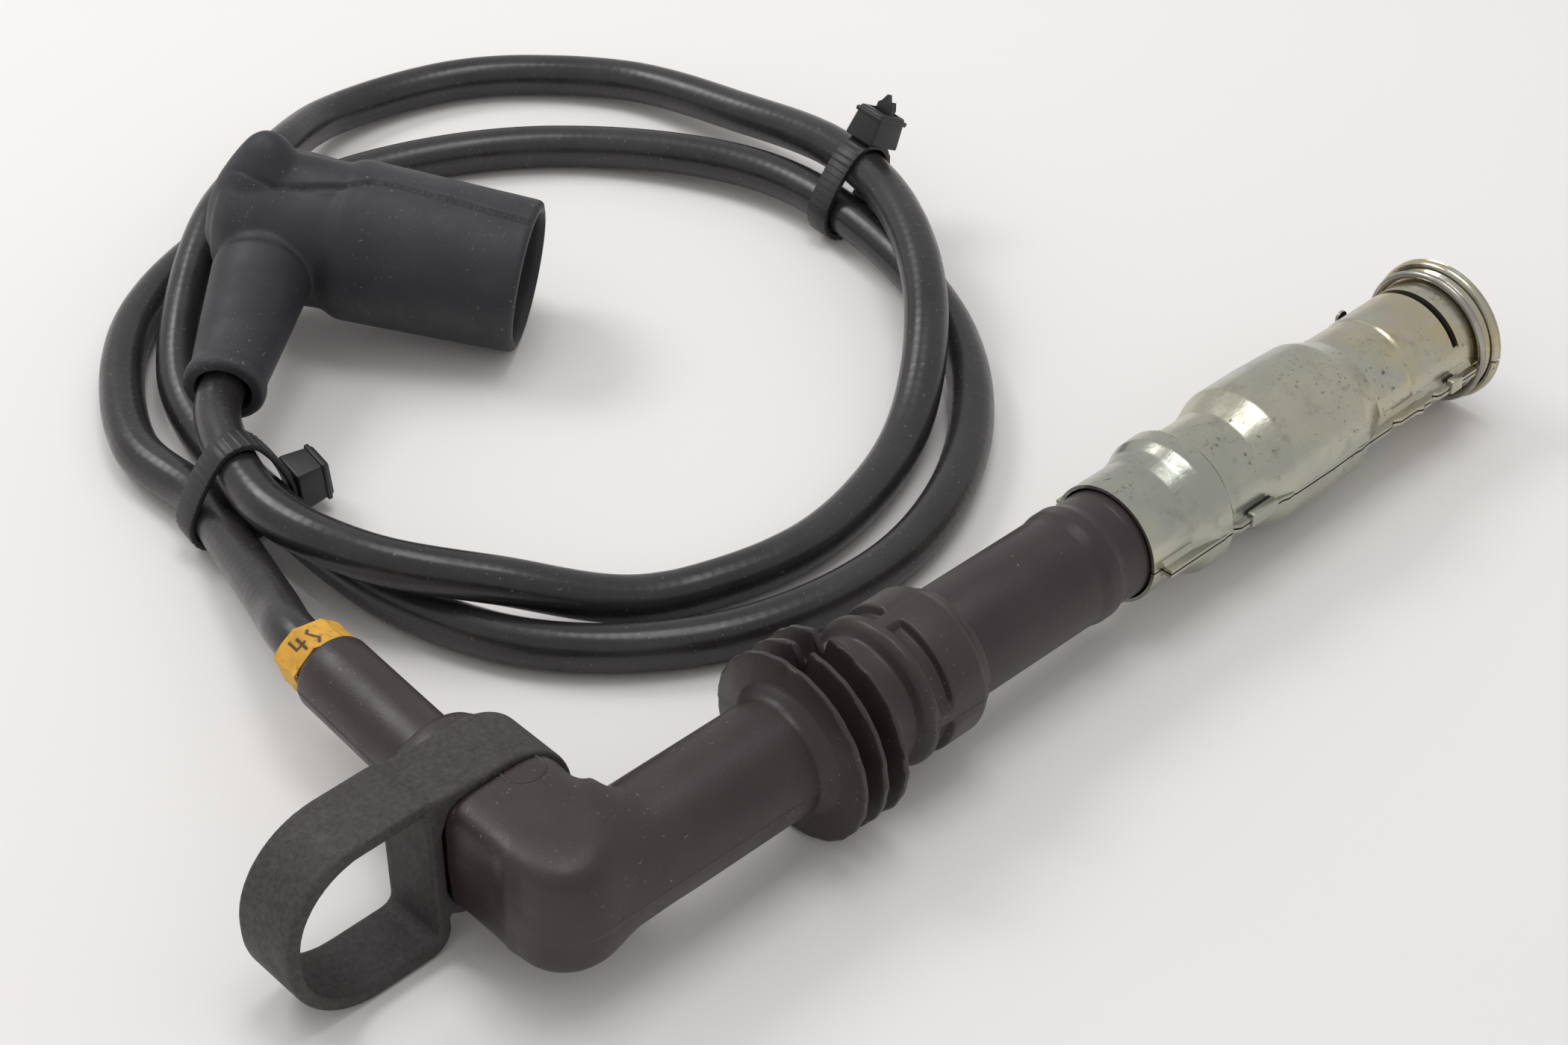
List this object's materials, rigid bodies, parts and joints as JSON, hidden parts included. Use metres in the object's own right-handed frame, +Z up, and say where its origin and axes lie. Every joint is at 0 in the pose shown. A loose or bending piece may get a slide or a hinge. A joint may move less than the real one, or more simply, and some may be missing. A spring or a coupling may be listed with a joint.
{
  "type": "spark plug wire",
  "caption": "Ignition lead with a shielded right-angle plug connector, a pull strap, a black cable coiled in loops under cable ties, and a right-angle coil boot.",
  "frame": {"origin": "on the ground under the middle of the box round the plug connector and the coil boot, measured without the cable", "axes": "+X along the plug connector towards its open end, +Y towards the cable's turns and the coil boot, +Z up"},
  "size_m": [0.2078, 0.192, 0.0343],
  "materials": {
    "cable_jacket": "satin black cable jacket",
    "brown_rubber": "matte brown-black moulded rubber",
    "grey_rubber": "matte dark grey moulded rubber",
    "strap_rubber": "dull speckled grey-black rubber",
    "yellow_tape": "creased yellow-orange tape with pen strokes",
    "insulator": "smooth brown-black hard insulator",
    "tie_plastic": "black nylon",
    "zinc_sheet": "zinc-plated sheet with pale iridescence and dirt",
    "spring_steel": "bright drawn wire",
    "brass": "plain brass",
    "ceramic": "unglazed ceramic rod"
  },
  "bodies": {
    "root": {"elbow_boot": "brown_rubber", "pull_strap": "strap_rubber", "connector_tube": "insulator", "shield_upper_half": "zinc_sheet", "shield_lower_half": "zinc_sheet", "shield_retaining_ring": "spring_steel", "cable_terminal": "brass", "resistor_cap_cable_end": "brass", "suppression_resistor": "ceramic", "resistor_cap_plug_end": "brass", "contact_spring": "spring_steel", "plug_clip_terminal": "brass", "coil_boot": "grey_rubber", "coil_terminal": "brass", "ignition_cable": "cable_jacket", "marker_band": "yellow_tape", "cable_tie_1": "tie_plastic", "cable_tie_2": "tie_plastic"}
  },
  "joints": []
}
